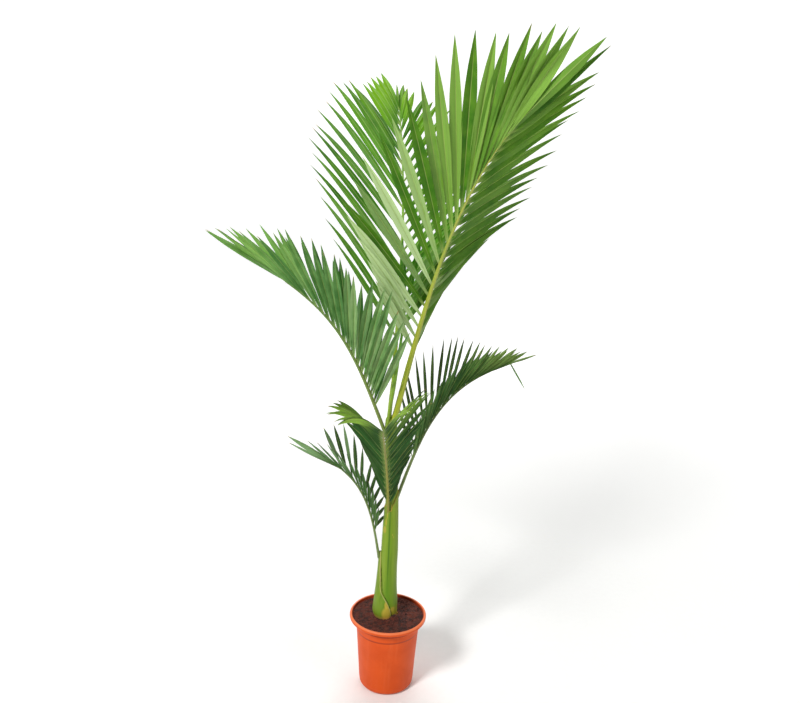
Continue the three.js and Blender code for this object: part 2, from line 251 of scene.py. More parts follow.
class Recipe:
    """The nodes of one finish, placed and joined in few words."""

    def __init__(self, name: str) -> None:
        """Starts an empty material of that name."""
        self.material = bpy.data.materials.new(name)
        self.material.use_nodes = True
        self.nodes = self.material.node_tree.nodes
        self.links = self.material.node_tree.links
        self.nodes.clear()

    def put(self, socket: bpy.types.NodeSocket, value: object) -> None:
        """Joins a socket to another one, or sets its number or colour."""
        if isinstance(value, bpy.types.NodeSocket):
            self.links.new(value, socket)
        else:
            socket.default_value = value

    def node(self, kind: str, settings: dict[str, object], inputs: dict[int | str, object]) -> bpy.types.Node:
        """Places a node.

        Args:
            kind: Its type, without the words ShaderNode.
            settings: Its properties.
            inputs: A value or another node's output for each of its sockets.

        Returns:
            The node.
        """
        made = self.nodes.new("ShaderNode" + kind)
        for key, value in settings.items():
            setattr(made, key, value)
        for key, value in inputs.items():
            self.put(made.inputs[key], value)
        return made

    def sum(self, operation: str, *values: object) -> bpy.types.NodeSocket:
        """The result of a math operation on one to three values."""
        return self.node("Math", {"operation": operation}, dict(enumerate(values))).outputs[0]

    def read(self, name: str) -> tuple[bpy.types.NodeSocket, ...]:
        """The three numbers of an attribute of the mesh."""
        vector = self.node("Attribute", {"attribute_name": name}, {}).outputs["Vector"]
        return tuple(self.node("SeparateXYZ", {}, {0: vector}).outputs)

    def where(self, stretch: tuple[float, float, float] = (1, 1, 1)) -> bpy.types.NodeSocket:
        """The point of the surface in metres, stretched along the axes."""
        place = self.node("TexCoord", {}, {}).outputs["Object"]
        return self.node("Mapping", {}, {"Vector": place, "Scale": stretch}).outputs[0]

    def grain(self, vector: bpy.types.NodeSocket, scale: float, detail: float = 3,
              rough: float = 0.55) -> bpy.types.NodeSocket:
        """Soft noise, 0 to 1.

        Args:
            vector: Where it is read.
            scale: How fine it is.
            detail: How many layers it has.
            rough: How strong the finer layers are.

        Returns:
            The noise.
        """
        return self.node("TexNoise", {}, {"Vector": vector, "Scale": scale, "Detail": detail, "Roughness": rough}).outputs[0]

    def rise(self, value: object, low: float, high: float) -> bpy.types.NodeSocket:
        """A smooth step from 0 at low to 1 at high."""
        return self.node("MapRange", {"interpolation_type": "SMOOTHSTEP"}, {0: value, 1: low, 2: high}).outputs[0]

    def spot(self, place: tuple[object, object], centre: tuple[float, float],
             size: tuple[float, float]) -> bpy.types.NodeSocket:
        """A soft oval patch.

        Args:
            place: The two numbers that say where a point is.
            centre: Their values in the middle of the patch.
            size: How far the patch reaches each way.

        Returns:
            1 inside the patch, 0 away from it.
        """
        away = [self.sum("MULTIPLY", self.sum("SUBTRACT", p, c), 1 / q) for p, c, q in zip(place, centre, size)]
        squared = self.sum("MULTIPLY_ADD", away[0], away[0], self.sum("MULTIPLY", away[1], away[1]))
        return self.sum("SUBTRACT", 1.0, self.rise(squared, 0.25, 1.0))

    def mix(self, share: object, first: object, second: object, way: str = "MIX") -> bpy.types.NodeSocket:
        """The first colour with a share of the second laid over it."""
        return self.node("Mix", {"data_type": "RGBA", "blend_type": way}, {0: share, 6: first, 7: second}).outputs[2]

    def bump(self, height: object, strength: float, distance: float, under: object = None) -> bpy.types.NodeSocket:
        """Relief that only the light sees.

        Args:
            height: Its height, 0 to 1.
            strength: How much of it shows.
            distance: How high 1 is, in metres.
            under: The normal it is laid on, if any.

        Returns:
            The normal.
        """
        inputs = {"Height": height, "Strength": strength, "Distance": distance}
        if under is not None:
            inputs["Normal"] = under
        return self.node("Bump", {}, inputs).outputs[0]

    def finish(self, sockets: dict[int | str, object], glow: object = None,
               share: float = 0.0) -> bpy.types.Material:
        """Closes the recipe with its shader.

        Args:
            sockets: Values of the main shader.
            glow: Colour of the light that passes through, for a thin leaf.
            share: Share of that light.

        Returns:
            The material.
        """
        shader = self.node("BsdfPrincipled", {}, sockets).outputs[0]
        if glow is not None:
            through = self.node("BsdfTranslucent", {}, {"Color": glow}).outputs[0]
            shader = self.node("MixShader", {}, {0: share, 1: shader, 2: through}).outputs[0]
        self.node("OutputMaterial", {}, {"Surface": shader})
        return self.material


@dataclass(frozen=True)
class PotPlastic:
    """Matt moulded plastic in the colour of baked clay, with a painted highlight on the rim, painted shade in two lines
    round the collar and inside the wall, and dusty near the soil.
    """

    body: str = "db520d"
    deep: str = "d24c0b"
    # colour of the faint streaks and of the painted highlight on the rim
    streak_and_highlight: str = "f08252"
    shade: str = "8a2206"
    dust: str = "b98a6c"
    rim_height: float = 0.1945
    # heights of the painted shade lines under the collar step and under the rim
    shade_lines: tuple[float, ...] = (0.1598, 0.1790)

    def make(self) -> bpy.types.Material:
        """The material: mottled colour, faint upright streaks, a painted highlight on the rim, painted shade lines and
        painted shade inside the wall, and a fine satin grain.
        """
        r = Recipe("pot_plastic")
        east, north, height = r.node("SeparateXYZ", {}, {0: r.where()}).outputs
        streaks = r.grain(r.where((30, 30, 3)), 1.6, 4)
        clouds = r.grain(r.where(), 16, 4)
        colour = r.mix(r.rise(clouds, 0.35, 0.7), linear(self.body), linear(self.deep))
        colour = r.mix(r.sum("MULTIPLY", r.rise(streaks, 0.5, 0.8), 0.14), colour, linear(self.streak_and_highlight))
        # painted highlight: the top of the rim is lightened as if lit from above
        rim = r.rise(height, self.rim_height, self.rim_height + 0.003)
        colour = r.mix(r.sum("MULTIPLY", rim, 0.75), colour, linear(self.streak_and_highlight))
        # painted shade: a dark line under the collar step and another under the rim
        for shade_height in self.shade_lines:
            line = r.sum("SUBTRACT", 1.0, r.rise(r.sum("ABSOLUTE", r.sum("SUBTRACT", height, shade_height)), 0.0010, 0.0036))
            colour = r.mix(r.sum("MULTIPLY", line, 0.6), colour, linear(self.shade))
        # painted shade: the inside of the wall above the soil is darkened
        reach = r.sum("SQRT", r.sum("MULTIPLY_ADD", east, east, r.sum("MULTIPLY", north, north)))
        inner = r.sum("MULTIPLY", r.rise(reach, 0.0952, 0.0936), r.rise(height, 0.186, 0.188))
        colour = r.mix(r.sum("MULTIPLY", inner, 0.8), colour, linear(self.shade))
        speck = r.rise(r.grain(r.where(), 420, 2), 0.68, 0.78)
        colour = r.mix(r.sum("MULTIPLY", speck, 0.35), colour, linear(self.dust))
        foot = r.rise(height, 0.012, 0.0)
        colour = r.mix(r.sum("MULTIPLY", foot, 0.15), colour, linear(self.dust))
        rough = r.sum("MULTIPLY_ADD", clouds, 0.2, 0.42)
        fine = r.bump(r.grain(r.where(), 1400, 2), 0.12, 0.0002)
        wavy = r.bump(r.grain(r.where((1, 1, 0.35)), 28, 2), 0.25, 0.0012, fine)
        return r.finish({"Base Color": colour, "Roughness": rough, "Specular IOR Level": 0.25, "Normal": wavy})


@dataclass(frozen=True)
class PottingSoil:
    """Moist peat with fibres, crumbs and a few pale grains; the root tips wear it in paler browns."""

    name: str = "potting_soil"
    dark: str = "240d08"
    brown: str = "5c2516"
    dry: str = "7c4a3a"
    pale: str = "b0988a"

    def make(self) -> bpy.types.Material:
        """The material: three browns by grain size, pale grains and a rough crumbly relief."""
        r = Recipe(self.name)
        coarse = r.grain(r.where(), 90, 6, 0.65)
        fine = r.grain(r.where(), 520, 5, 0.7)
        cells = r.node("TexVoronoi", {}, {"Vector": r.where(), "Scale": 260.0}).outputs["Distance"]
        colour = r.mix(r.rise(coarse, 0.35, 0.62), linear(self.dark), linear(self.brown))
        colour = r.mix(r.sum("MULTIPLY", r.rise(fine, 0.5, 0.72), 0.45), colour, linear(self.dry))
        colour = r.mix(r.sum("MULTIPLY", r.rise(r.grain(r.where(), 900, 2), 0.66, 0.73), 0.55), colour, linear(self.pale))
        relief = r.bump(fine, 0.8, 0.0012, r.bump(cells, 0.6, 0.0015))
        return r.finish({"Base Color": colour, "Roughness": 0.95, "Normal": relief})


@dataclass(frozen=True)
class Sheath:
    """Fibrous sheath of a leaf stalk. Its place is the side it faces, height, and distance to its dry edge; on the stem
    core past the low sheath's front edge that distance is negative, which places a painted shadow line.
    """

    name: str = "leaf_sheath"
    foot: str = "b09c2c"
    low: str = "5c860a"
    middle: str = "6a8c0c"
    high: str = "768618"
    # colour of the painted light on the left and right sides, also laid on the fibres
    lit: str = "869c2c"
    # colour of the painted shade line down the front where the sheaths overlap
    seam_shade: str = "3c6604"
    streak: str = "4c7010"
    # colour of the painted shadow line on the stem beside the low sheath's front edge
    slit_shadow: str = "2a2408"
    dry: str = "b98a3c"
    dry_reach: float = 0.0035
    patch: str = "bca03a"
    foot_height: tuple[float, float] = (0.208, 0.236)
    scars: tuple[tuple[float, float, float, float], ...] = (
        (-0.72, 0.441, 0.22, 0.012), (-0.6, 0.463, 0.12, 0.012), (-0.5, 0.484, 0.08, 0.014), (0.02, 0.503, 0.1, 0.012),
        (0.3, 0.431, 0.05, 0.004), (0.42, 0.424, 0.04, 0.004), (0.55, 0.222, 0.25, 0.009),
    )

    def make(self) -> bpy.types.Material:
        """The material: yellow foot, green above with painted light on the left and right sides and a painted shade
        line down the front where the sheaths overlap, fibres, a dry edge, small scars, and a painted shadow line on the
        stem just past the low sheath's front edge.
        """
        r = Recipe(self.name)
        side, height, edge = r.read("place")
        fibres = r.grain(r.where((1, 1, 0.03)), 420, 4, 0.6)
        wide = r.grain(r.where((1, 1, 0.06)), 75, 3)
        colour = r.mix(r.rise(height, *self.foot_height), linear(self.foot), linear(self.low))
        colour = r.mix(r.rise(height, 0.26, 0.34), colour, linear(self.middle))
        colour = r.mix(r.rise(height, 0.4, 0.6), colour, linear(self.high))
        # painted light: the left and right sides are lightened, the front and back are not
        colour = r.mix(r.sum("MULTIPLY", r.rise(side, -0.1, -0.55), 0.55), colour, linear(self.lit))
        colour = r.mix(r.sum("MULTIPLY", r.rise(side, 0.1, 0.5), 0.42), colour, linear(self.lit))
        # painted shade: a dark line down the front where two sheaths overlap, wandering a little
        wander = r.sum("MULTIPLY_ADD", wide, 0.2, r.sum("SUBTRACT", side, 0.1))
        seam_shade = r.sum("MULTIPLY", r.rise(wander, -0.2, -0.13), r.rise(wander, 0.12, -0.1))
        reach = r.sum("MULTIPLY", r.rise(height, 0.25, 0.36), r.rise(height, 0.54, 0.5))
        colour = r.mix(r.sum("MULTIPLY", r.sum("MULTIPLY", seam_shade, reach), 0.85), colour, linear(self.seam_shade))
        colour = r.mix(r.sum("MULTIPLY", r.rise(wide, 0.5, 0.75), 0.45), colour, linear(self.streak))
        colour = r.mix(r.sum("MULTIPLY", r.rise(fibres, 0.5, 0.8), 0.3), colour, linear(self.lit))
        ragged = r.sum("MULTIPLY_ADD", wide, 0.012, r.sum("SUBTRACT", height, 0.006))
        for east, up, broad, tall in self.scars:
            scar = r.spot((side, ragged), (east, up), (broad, tall))
            colour = r.mix(r.sum("MULTIPLY", scar, 0.6), colour, linear(self.patch))
        dried = r.rise(r.sum("MULTIPLY_ADD", wide, 0.002, edge), self.dry_reach, 0.0006)
        free = r.sum("GREATER_THAN", edge, -0.0001)
        colour = r.mix(r.sum("MULTIPLY", r.sum("MULTIPLY", dried, free), 0.8), colour, linear(self.dry))
        # painted shadow: a dark line on the stem core a few millimetres past the low sheath's front edge
        slit_shadow = r.sum("MULTIPLY", r.rise(edge, -0.0042, -0.0022), r.sum("SUBTRACT", 1.0, free))
        colour = r.mix(r.sum("MULTIPLY", slit_shadow, 0.9), colour, linear(self.slit_shadow))
        relief = r.bump(fibres, 0.5, 0.0006)
        rough = r.sum("MULTIPLY_ADD", wide, 0.25, 0.36)
        return r.finish({"Base Color": colour, "Roughness": rough, "Specular IOR Level": 0.3, "Normal": relief})


@dataclass(frozen=True)
class LeafBlade:
    """Blades of one frond. A point's place is along the blade, across it and its own draw; a face's state is
    the blade's place on the frond, whether the face is an upper one, and how dry the blade is."""

    name: str
    upper: tuple[str, str]
    under: tuple[str, str]
    midrib: str = "a9bd6a"
    dry: str = "a98a55"
    through: str = "9fc63a"
    young: str = "86b43c"
    young_share: float = 0.0
    # colour of the painted sheen, pale reflected light laid on the blades
    sheen: str = "b2ca90"
    painted_sheen_share: float = 0.2
    sheen_from: float = 0.38
    rib_width: float = 0.1
    gloss: float = 0.38
    veins: float = 8.0

    def make(self) -> bpy.types.Material:
        """The material: veins and a pale midrib along each blade, its own tone, a painted sheen, paler underside and
        dry tip.
        """
        r = Recipe(self.name)
        along, across, draw = r.read("place")
        place_on, upper, wear = r.read("state")
        away = r.sum("ABSOLUTE", across)
        blotch = r.grain(r.where(), 24, 3)
        tone = r.sum("ADD", r.sum("MULTIPLY", draw, 0.55), r.sum("MULTIPLY", r.rise(blotch, 0.3, 0.7), 0.45))
        top = r.mix(tone, linear(self.upper[0]), linear(self.upper[1]))
        below = r.mix(tone, linear(self.under[0]), linear(self.under[1]))
        colour = r.mix(upper, below, top)
        tender = r.sum("MULTIPLY", r.rise(place_on, 0.5, 0.95), r.rise(draw, 0.0, 0.5))
        tender = r.sum("MULTIPLY", r.sum("MULTIPLY", tender, r.rise(along, 0.1, 0.6)), self.young_share)
        colour = r.mix(tender, colour, linear(self.young))
        thread = r.node("CombineXYZ", {}, {0: r.sum("MULTIPLY", across, self.veins), 1: r.sum("MULTIPLY", along, 1.3), 2: draw})
        uneven = r.grain(thread.outputs[0], 1.0, 3, 0.6)
        line = r.sum("PINGPONG", r.sum("MULTIPLY_ADD", across, self.veins, r.sum("MULTIPLY", uneven, 0.6)), 0.5)
        vein = r.sum("SUBTRACT", 1.0, r.rise(line, 0.0, 0.16))
        colour = r.mix(r.sum("MULTIPLY", r.rise(uneven, 0.35, 0.75), 0.3), colour, linear(self.upper[0]), "MULTIPLY")
        # painted sheen: pale patches of reflected light, strongest on the blades near the foot of the frond and on
        # blades with a high draw
        sheen_way = r.node("CombineXYZ", {}, {0: r.sum("MULTIPLY", along, 2.2), 1: r.sum("MULTIPLY", draw, 37.0), 2: across})
        sheen = r.rise(r.grain(sheen_way.outputs[0], 1.0, 2), self.sheen_from, self.sheen_from + 0.24)
        sheen = r.sum("MULTIPLY", sheen, r.sum("MULTIPLY_ADD", r.rise(place_on, 0.52, 0.28), 0.88, 0.12))
        sheen = r.sum("MULTIPLY", sheen, r.rise(draw, 0.15, 0.55))
        colour = r.mix(r.sum("MULTIPLY", sheen, self.painted_sheen_share), colour, linear(self.sheen))
        colour = r.mix(r.sum("MULTIPLY", vein, 0.12), colour, linear(self.midrib))
        rib = r.sum("SUBTRACT", 1.0, r.rise(away, 0.3 * self.rib_width, self.rib_width))
        colour = r.mix(r.sum("MULTIPLY", rib, 0.6), colour, linear(self.midrib))
        foot = r.sum("SUBTRACT", 1.0, r.rise(along, 0.01, 0.1))
        colour = r.mix(r.sum("MULTIPLY", foot, 0.6), colour, linear(self.midrib))
        ragged = r.sum("ADD", along, r.sum("MULTIPLY", uneven, 0.05))
        tip = r.sum("MULTIPLY", r.rise(ragged, 0.965, 1.0), r.rise(wear, 0.25, 0.6))
        rim = r.sum("MULTIPLY", r.rise(away, 0.9, 1.0), r.sum("MULTIPLY", wear, 0.35))
        colour = r.mix(r.sum("MAXIMUM", tip, rim), colour, linear(self.dry))
        rough = r.sum("MULTIPLY_ADD", uneven, 0.2, self.gloss - 0.08)
        fold = r.bump(r.sum("ADD", vein, uneven), 0.35, 0.00035)
        glow = r.mix(0.55, colour, linear(self.through))
        return r.finish({"Base Color": colour, "Roughness": rough, "Specular IOR Level": 0.14, "Normal": fold}, glow, 0.18)


@dataclass(frozen=True)
class StalkSkin:
    """Smooth skin of a leaf stalk. Its place is along the stalk, round it and its own draw."""

    name: str
    foot: str = "8a9a3c"
    tip: str = "7f9a3c"
    shade: str = "5f7f24"
    pale: str = "b9c080"

    def make(self) -> bpy.types.Material:
        """The material: two greens along the stalk, fine lines, pale flecks and a soft gloss."""
        r = Recipe(self.name)
        along, around, _ = r.read("place")
        lines_way = r.node("CombineXYZ", {}, {0: r.sum("MULTIPLY", around, 9.0), 1: r.sum("MULTIPLY", along, 4.0)})
        lines = r.grain(lines_way.outputs[0], 1.0, 4, 0.6)
        colour = r.mix(r.rise(along, 0.05, 0.75), linear(self.foot), linear(self.tip))
        colour = r.mix(r.sum("MULTIPLY", r.rise(lines, 0.42, 0.7), 0.55), colour, linear(self.shade))
        flecks = r.rise(r.grain(r.where(), 160, 3), 0.62, 0.74)
        colour = r.mix(r.sum("MULTIPLY", flecks, 0.25), colour, linear(self.pale))
        return r.finish({"Base Color": colour, "Roughness": r.sum("MULTIPLY_ADD", lines, 0.2, 0.34),
                         "Normal": r.bump(lines, 0.3, 0.0004)})


# ---------------------------------------------------------------- pot and soil
@dataclass
class Pot:
    """Moulded nursery pot with a rolled rim over a stepped collar and eight drain holes."""

    outside: tuple[tuple[float, float], ...] = (
        (60, 0), (66.5, 2.2), (70.2, 8), (71.6, 18), (74.6, 65), (77.9, 115), (81, 158), (82.6, 162.5),
        (84, 186), (92, 187.2), (98.6, 189.2), (100, 192.2), (100, 196.8), (98.4, 199.3), (96, 200),
    )
    inside: tuple[tuple[float, float], ...] = (
        (93.6, 199), (93.2, 196.4), (92.6, 191.8), (90.4, 189.4), (82.4, 187.6), (81.4, 184), (80, 164), (78.6, 158),
        (75.5, 115), (72.2, 65), (69.2, 19), (67.2, 9), (62, 3),
    )
    floor: float = 3.0
    corner: float = 1.6
    around: int = 144
    drain_radius: float = 4.5
    drain_ring: float = 47.0
    drains: int = 8
    unevenness: float = 0.35

    def profile(self) -> list[tuple[float, float]]:
        """The wall's outline from the middle of the underside round to the middle of the floor."""
        wall = rounded(self.outside + self.inside, self.corner)
        feet = [(r, 0.0) for r in (1.0, 20.0, 40.0)]
        return feet + wall + [(r, self.floor) for r in (40.0, 20.0, 1.0)]

    def build(self) -> bpy.types.Object:
        """Turns the outline round the axis, a little uneven as moulded ware is, and opens the drain holes."""
        angles = np.linspace(0, 2 * math.pi, self.around, endpoint=False)
        rings = []
        for radius, height in self.profile():
            for a in angles:
                way = np.array([math.cos(a), math.sin(a), 0.0])
                uneven = self.unevenness * hills(way * 60 + UP * height * 0.4, 45, 2) * min(height / 20, 1.0)
                rings.append(way * (radius + uneven * (radius > 62)) + UP * height)
        points = np.array(rings)
        skin = Skin()
        skin.add(points, loop_faces(len(points) // self.around, self.around))
        piece = skin.become("pot_shell", PotPlastic().make(), Slot.PLASTIC, "pot", 38)
        self.pierce(piece)
        return piece

    def pierce(self, piece: bpy.types.Object) -> None:
        """Cuts the drain holes.

        Args:
            piece: The pot.
        """
        plugs = bpy.data.meshes.new("drain_plugs")
        points, faces = [], []
        for i in range(self.drains):
            a = 2 * math.pi * (i + 0.5) / self.drains
            middle = np.array([math.cos(a), math.sin(a), 0.0]) * self.drain_ring
            for z in (-2.0, self.floor + 2.0):
                for b in np.linspace(0, 2 * math.pi, 24, endpoint=False):
                    points.append(middle + self.drain_radius * np.array([math.cos(b), math.sin(b), 0.0]) + UP * z)
            faces += loop_faces(2, 24, 48 * i)
        plugs.from_pydata((np.array(points) * MM).tolist(), [], faces)
        cutter = bpy.data.objects.new("drain_plugs", plugs)
        bpy.context.scene.collection.objects.link(cutter)
        cut = piece.modifiers.new("drains", "BOOLEAN")
        cut.object, cut.operation, cut.solver = cutter, "DIFFERENCE", "EXACT"
        opened = bpy.data.meshes.new_from_object(piece.evaluated_get(bpy.context.evaluated_depsgraph_get()))
        piece.modifiers.clear()
        piece.data = opened
        bpy.data.objects.remove(cutter)


@dataclass
class SoilBed:
    """Filling of the pot: an uneven, crumbly top round the stem."""

    level: float = 193.5
    top_radius: float = 92.2
    foot_radius: float = 61.0
    foot: float = 3.4
    relief: float = 1.5
    mound: float = 10.0
    mound_place: tuple[float, float] = (16.0, -24.0)
    crumbs: int = 620
    rings: int = 60
    around: int = 180
    seed: int = 5

    def height(self, x: float, y: float) -> float:
        """Height of the top at a place, banked up a little against the stem."""
        reach = math.hypot(x, y)
        banked = 4.5 * math.exp(-((reach - 31) / 9) ** 2)
        banked += self.mound * math.exp(-(math.hypot(x - self.mound_place[0], y - self.mound_place[1]) / 12) ** 2)
        edge = max(0.0, (reach - 81) / 12)
        return self.level + self.relief * hills(np.array([x, y, 0.0]), 9, 4) * (1 - edge) + banked - 0.8 * edge

    def build(self) -> bpy.types.Object:
        """Makes the bed and scatters crumbs on it."""
        skin = Skin()
        angles = np.linspace(0, 2 * math.pi, self.around, endpoint=False)
        points = []
        for radius, z in ((0.5, self.foot), (self.foot_radius, self.foot), (74.3, 110), (80.6, 184),
                          (self.top_radius, 191)):
            points += [[radius * math.cos(a), radius * math.sin(a), z] for a in angles]
        for k in range(self.rings):
            radius = self.top_radius * (1 - k / self.rings)
            for a in angles:
                x, y = radius * math.cos(a), radius * math.sin(a)
                points.append([x, y, self.height(x, y)])
        skin.add(np.array(points), loop_faces(self.rings + 5, self.around))
        self.scatter(skin)
        return skin.become("soil_bed", PottingSoil().make(), Slot.SOIL, "soil", 80)

    def scatter(self, skin: Skin) -> None:
        """Adds crumbs of peat, each a small lump half sunk in the bed.

        Args:
            skin: The skin that gets them.
        """
        rng = np.random.default_rng(self.seed)
        for _ in range(self.crumbs):
            reach, turn = 90 * math.sqrt(rng.uniform(0.13, 1)), rng.uniform(0, 2 * math.pi)
            size = rng.uniform(0.5, 1.9) * (1.0 if rng.uniform() < 0.9 else 1.5)
            x, y = reach * math.cos(turn), reach * math.sin(turn)
            middle = np.array([x, y, self.height(x, y) + 0.15 * size])
            stretch = rng.uniform(0.6, 1.3, 3)
            ball = [[0, 0, 1]]
            for lift in (0.55, -0.1, -0.7):
                spread = math.sqrt(1 - lift * lift)
                for b in np.arange(6) * math.pi / 3 + lift:
                    ball.append([spread * math.cos(b), spread * math.sin(b), lift])
            lumps = np.array(ball) * rng.uniform(0.75, 1.2, (19, 1)) * stretch * size
            faces: list[Face] = [(0, 1 + j, 1 + (j + 1) % 6) for j in range(6)]
            faces += loop_faces(3, 6, 1, caps=False) + [(13, 18, 17, 16, 15, 14)]
            skin.add(middle + lumps, faces)


# ---------------------------------------------------------------- stem and sheaths
@dataclass
class Stem:
    """Stem wrapped in leaf sheaths, with the free edge of its outermost full sheath and a few root nubs."""

    rows: tuple[tuple[float, float, float], ...] = (
        (152, 22, -2), (190, 24, -3), (210, 25.6, -2.4), (235, 25.2, -1.8), (281, 23, -2.4), (327, 21.6, -2),
        (372, 20.6, -1.3), (417, 19.5, -1.1), (462, 18, -0.6), (506, 16.2, 0), (545, 15.4, -0.5), (600, 15, -3), (664, 14.8, -6),
        (722, 14.5, -8), (734, 12.5, -8), (740, 8, -8),
    )
    around: int = 72
    step: float = 4.0
    nubs: int = 9
    nub_span: tuple[float, float] = (-84.0, -12.0)
    seed: int = 3
    # front edge of the low sheath, height and degrees; the painted shadow line on the core starts there
    sheath_front: tuple[tuple[float, float], ...] = ((188, 118), (217, 108), (231, 97), (243, 86), (256, 68), (269, 49),
                                                     (301, 38), (332, 27), (362, 21), (376, 10))

    def at(self, z: float | np.ndarray) -> tuple[np.ndarray, np.ndarray]:
        """Radius of the stem and the shift of its axis at a height."""
        values = eased(self.rows, np.atleast_1d(np.asarray(z, float)))
        return values[:, 0], values[:, 1]

    def lip_height(self, degrees: float) -> float:
        """Height of the outer sheath's free edge: highest at the right, where its stalk leaves, and notched in front."""
        wrapped = (degrees + 180) % 360 - 180
        notch = 34 * math.exp(-((wrapped + 100) / 26) ** 2)
        return 521 + 24 * math.cos(math.radians(wrapped)) ** 3 - notch * 0.8

    def build(self) -> list[bpy.types.Object]:
        """Makes the core of the stem with its nubs, and the outer sheath that ends in a dry edge."""
        finish = Sheath().make()
        core = Skin()
        heights = np.arange(self.rows[0][0], self.rows[-1][0] + 0.1, self.step)
        radii, shifts = self.at(heights)
        angles = np.linspace(0, 360, self.around, endpoint=False)
        points, place = [], []
        for z, r, x in zip(heights, radii, shifts):
            for d in angles:
                a = math.radians(d)
                uneven = 0.25 * hills(np.array([math.cos(a) * 9, math.sin(a) * 9, z * 0.12]), 6, 2)
                points.append([x + (r + uneven) * math.cos(a), (r + uneven) * math.sin(a), z])
                # how far past the low sheath's front edge a core point lies, which places the painted shadow line
                past = math.radians(d - 180 - float(np.interp(z, *np.array(self.sheath_front).T))) * r
                covered = d >= 180 and 0 < past < 12 and z < self.sheath_front[-1][0]
                place.append([math.cos(a), z * MM, -past * MM if covered else 1.0])
        core.add(np.array(points), loop_faces(len(heights), self.around), np.array(place))
        nubs = Skin()
        self.root_nubs(nubs)
        pieces = [core.become("stem_core", finish, Slot.SHEATH, "stem")]
        pieces.append(nubs.become("root_nubs", PottingSoil("root_skin", "6a4218", "8c6a24", "a58434").make(), Slot.SHEATH, "stem"))
        pieces.append(self.outer_sheath().become("stem_outer_sheath", finish, Slot.SHEATH, "stem"))
        return pieces

    def root_nubs(self, skin: Skin) -> None:
        """Adds the short blunt root tips at the foot of the stem.

        Args:
            skin: The skin that gets them.
        """
        rng = np.random.default_rng(self.seed)
        for i in range(self.nubs):
            a = math.radians(self.nub_span[0] + (self.nub_span[1] - self.nub_span[0]) * i / (self.nubs - 1))
            z = 201 + 11 * rng.uniform()
            radius, shift = (float(v[0]) for v in self.at(z))
            way = unit(np.array([math.cos(a), math.sin(a), -0.1]))
            foot = np.array([shift, 0, z]) + way * (radius - 3)
            size = rng.uniform(1.1, 1.9)
            across = unit(np.cross(way, UP))
            points = []
            for reach, share in ((0, 1.0), (4, 1.0), (6, 0.9), (7.4, 0.7), (8.2, 0.4), (8.5, 0.1)):
                for b in np.linspace(0, 2 * math.pi, 14, endpoint=False):
                    points.append(foot + way * reach + size * share * (across * math.cos(b) + UP * math.sin(b)))
            skin.add(np.array(points), loop_faces(6, 14))

    def outer_sheath(self) -> Skin:
        """A thin shell round the stem up to its free edge, which stands off a little and has dried."""
        skin = Skin()
        low, thick, rows = 300.0, 1.3, 60
        angles = np.linspace(0, 360, 144, endpoint=False)
        outer, inner, outer_place, inner_place = [], [], [], []
        for k in range(rows + 1):
            s = k / rows
            for d in angles:
                top = self.lip_height(d)
                z = low + (top - low) * s
                radius, shift = (float(v[0]) for v in self.at(z))
                a = math.radians(d)
                stand = (thick + 1.2) * min(1.0, s * 3.0) - 1.2 + 0.7 * max(0.0, (s - 0.9) / 0.1) ** 2
                for off, points in ((stand, outer), (min(stand - 0.4, 0.15 if k < rows else 0.4), inner)):
                    points.append([shift + (radius + off) * math.cos(a), (radius + off) * math.sin(a), z])
                for places in (outer_place, inner_place):
                    places.append([math.cos(a), z * MM, (top - z) * MM])
        n = len(angles)
        faces = loop_faces(rows + 1, n, 0, caps=False)
        faces += [face[::-1] for face in loop_faces(rows + 1, n, (rows + 1) * n, caps=False)]
        for base in (0, rows * n):
            for j in range(n):
                a, b = base + j, base + (j + 1) % n
                c, d = b + (rows + 1) * n, a + (rows + 1) * n
                faces.append((a, d, c, b) if base == 0 else (a, b, c, d))
        skin.add(np.array(outer + inner), faces, np.array(outer_place + inner_place))
        return skin


